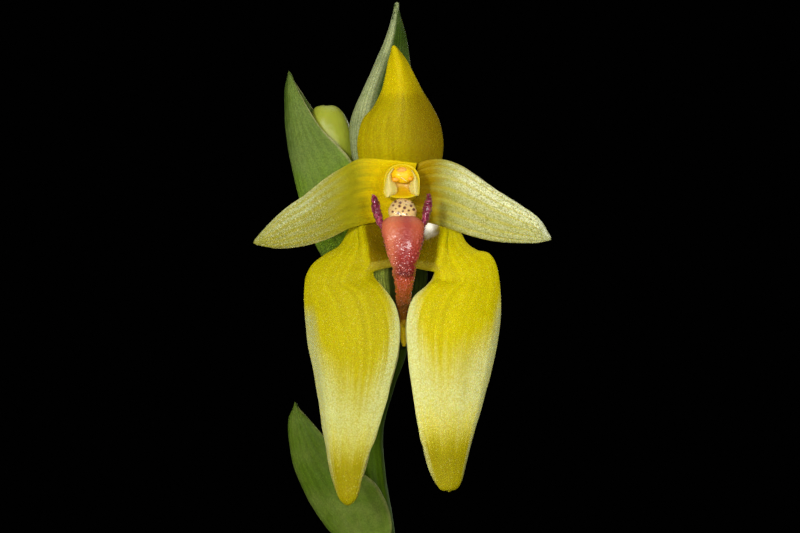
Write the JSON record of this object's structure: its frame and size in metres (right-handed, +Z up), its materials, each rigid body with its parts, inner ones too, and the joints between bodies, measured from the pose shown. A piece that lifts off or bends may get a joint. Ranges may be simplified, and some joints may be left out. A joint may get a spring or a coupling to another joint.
{
  "type": "potted orchid plant",
  "caption": "Flowering orchid in a round clay pot of bark mix: ridged pseudobulbs, leathery leaves and an upright stalk with boat-shaped bracts and an open yellow flower.",
  "frame": {"origin": "middle of the pot's flat foot, on the surface that the pot stands on", "axes": "+Z up along the pot's axis, the open flower faces -Y and +X is to the flower's right as it is looked at"},
  "size_m": [0.2345, 0.1655, 0.4021],
  "materials": {
    "clay": "unglazed fired clay, matt, with faint lime bloom",
    "bark": "rough dry bark chips with a little moss",
    "rhizome": "dry scaly stem with pale roots",
    "bulb": "smooth waxy green, furrowed",
    "leaf": "leathery satin green, paler beneath",
    "stem": "smooth satin green",
    "sheath": "dry papery, finely ribbed",
    "bract": "satin green with a grey bloom and pale thin margins",
    "bud": "smooth waxy yellow-green",
    "sepal": "fleshy, finely grained satin yellow with silvery margins",
    "petal": "pale yellow-green with a silvery grain and yellow veins",
    "column": "waxy, slightly translucent yellow with whitish wings",
    "anther": "waxy orange-yellow",
    "lip": "fleshy, wet-looking, covered with small shiny warts"
  },
  "bodies": {
    "root": {"pot": "clay", "potting_mix": "bark", "rhizome": "rhizome", "pseudobulb_1": "bulb", "pseudobulb_2": "bulb", "pseudobulb_3": "bulb", "pseudobulb_4": "bulb", "pseudobulb_5": "bulb", "leaf_1": "leaf", "leaf_2": "leaf", "leaf_3": "leaf", "leaf_4": "leaf", "leaf_5": "leaf", "flower_stalk": "stem", "stalk_sheath_low": "sheath", "stalk_sheath_middle": "sheath", "stalk_sheath_high": "sheath", "bract_lowest": "bract", "bract_open_flower": "bract", "bract_upper": "bract", "bract_top": "bract", "bud_upper": "bud", "bud_top": "bud", "ovary": "stem", "sepal_back": "sepal", "petal_left": "petal", "petal_right": "petal", "sepal_lateral_left": "sepal", "sepal_lateral_right": "sepal", "column": "column", "anther_cap": "anther", "lip": "lip"}
  },
  "joints": []
}
